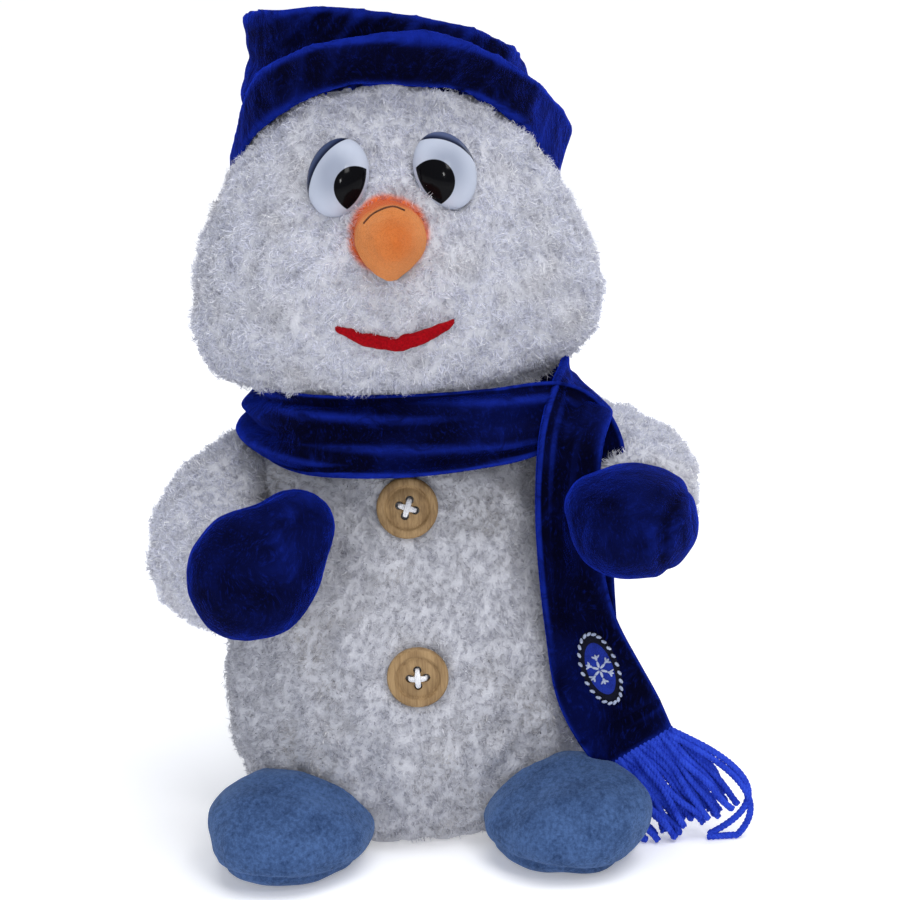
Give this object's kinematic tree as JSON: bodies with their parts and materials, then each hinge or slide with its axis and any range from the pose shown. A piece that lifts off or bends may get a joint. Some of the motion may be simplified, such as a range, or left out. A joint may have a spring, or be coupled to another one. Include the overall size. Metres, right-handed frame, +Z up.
{
  "type": "plush snowman",
  "caption": "Sitting stuffed snowman with a velvet hat, scarf and mittens, fleece feet, domed eyes, a carrot nose and wooden buttons down the belly.",
  "frame": {"origin": "centre of the flat seat under the torso, on the floor the toy sits on", "axes": "+Z up the toy, the face and feet look along -Y, +X is the toy's own left"},
  "size_m": [0.1879, 0.1577, 0.2772],
  "materials": {
    "plush": "short crimped pile",
    "velvet": "velvet",
    "fleece": "fleece",
    "yarn": "twisted yarn",
    "eye_plastic": "gloss",
    "velour": "velour",
    "felt": "felt",
    "button_wood": "plain wood",
    "thread": "matt yarn"
  },
  "bodies": {
    "root": {"head": "plush", "torso": "plush", "arm_right": "plush", "arm_left": "plush", "mitten_right": "velvet", "mitten_left": "velvet", "foot_right": "fleece", "foot_left": "fleece", "hat_crown": "velvet", "hat_brim": "velvet", "scarf": "velvet", "scarf_fringe_front": "yarn", "scarf_fringe_back": "yarn", "eye_right": "eye_plastic", "eye_left": "eye_plastic", "nose": "velour", "mouth": "felt", "button_upper": "button_wood", "button_lower": "button_wood", "button_thread_upper": "thread", "button_thread_lower": "thread"}
  },
  "joints": []
}
